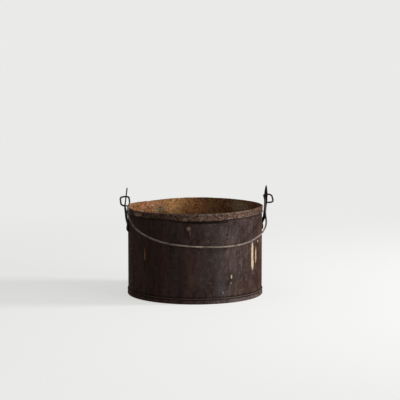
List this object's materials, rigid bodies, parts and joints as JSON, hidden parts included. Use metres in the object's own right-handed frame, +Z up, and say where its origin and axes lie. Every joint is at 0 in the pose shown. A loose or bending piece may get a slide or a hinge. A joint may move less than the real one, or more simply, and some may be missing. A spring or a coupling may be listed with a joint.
{
  "type": "metal bucket",
  "caption": "Low round sheet-iron bucket with a hemmed rim, a bottom pan, riveted leaf-shaped strap ears and a loose swinging wire bail.",
  "frame": {"origin": "middle of the round underside, on the surface that the bucket stands on", "axes": "+Z up along the bucket's own axis, +X along the line of the two ears that the bail turns about, -Y the front, where the bail rests"},
  "size_m": [0.2307, 0.205, 0.1598],
  "materials": {
    "wall": "rough oxidised sheet iron, nearly black outside and rust brown inside",
    "bottom_pan": "rough oxidised sheet iron",
    "ears": "dark forged scale, matt",
    "rivets": "rusty, matt",
    "bail": "worn dull steel wire with rust specks"
  },
  "bodies": {
    "bucket": {"wall": "wall", "bottom_pan": "bottom_pan", "left_ear": "ears", "right_ear": "ears", "left_ear_front_rivet": "rivets", "left_ear_back_rivet": "rivets", "right_ear_front_rivet": "rivets", "right_ear_back_rivet": "rivets"},
    "bail": {"bail": "bail"}
  },
  "joints": [
    {"name": "bail_swing", "type": "hinge", "parent": "bucket", "child": "bail", "pos_m": [0, 0, 0.1463], "axis": [-1, 0, 0], "range_deg": [0, 242]}
  ]
}
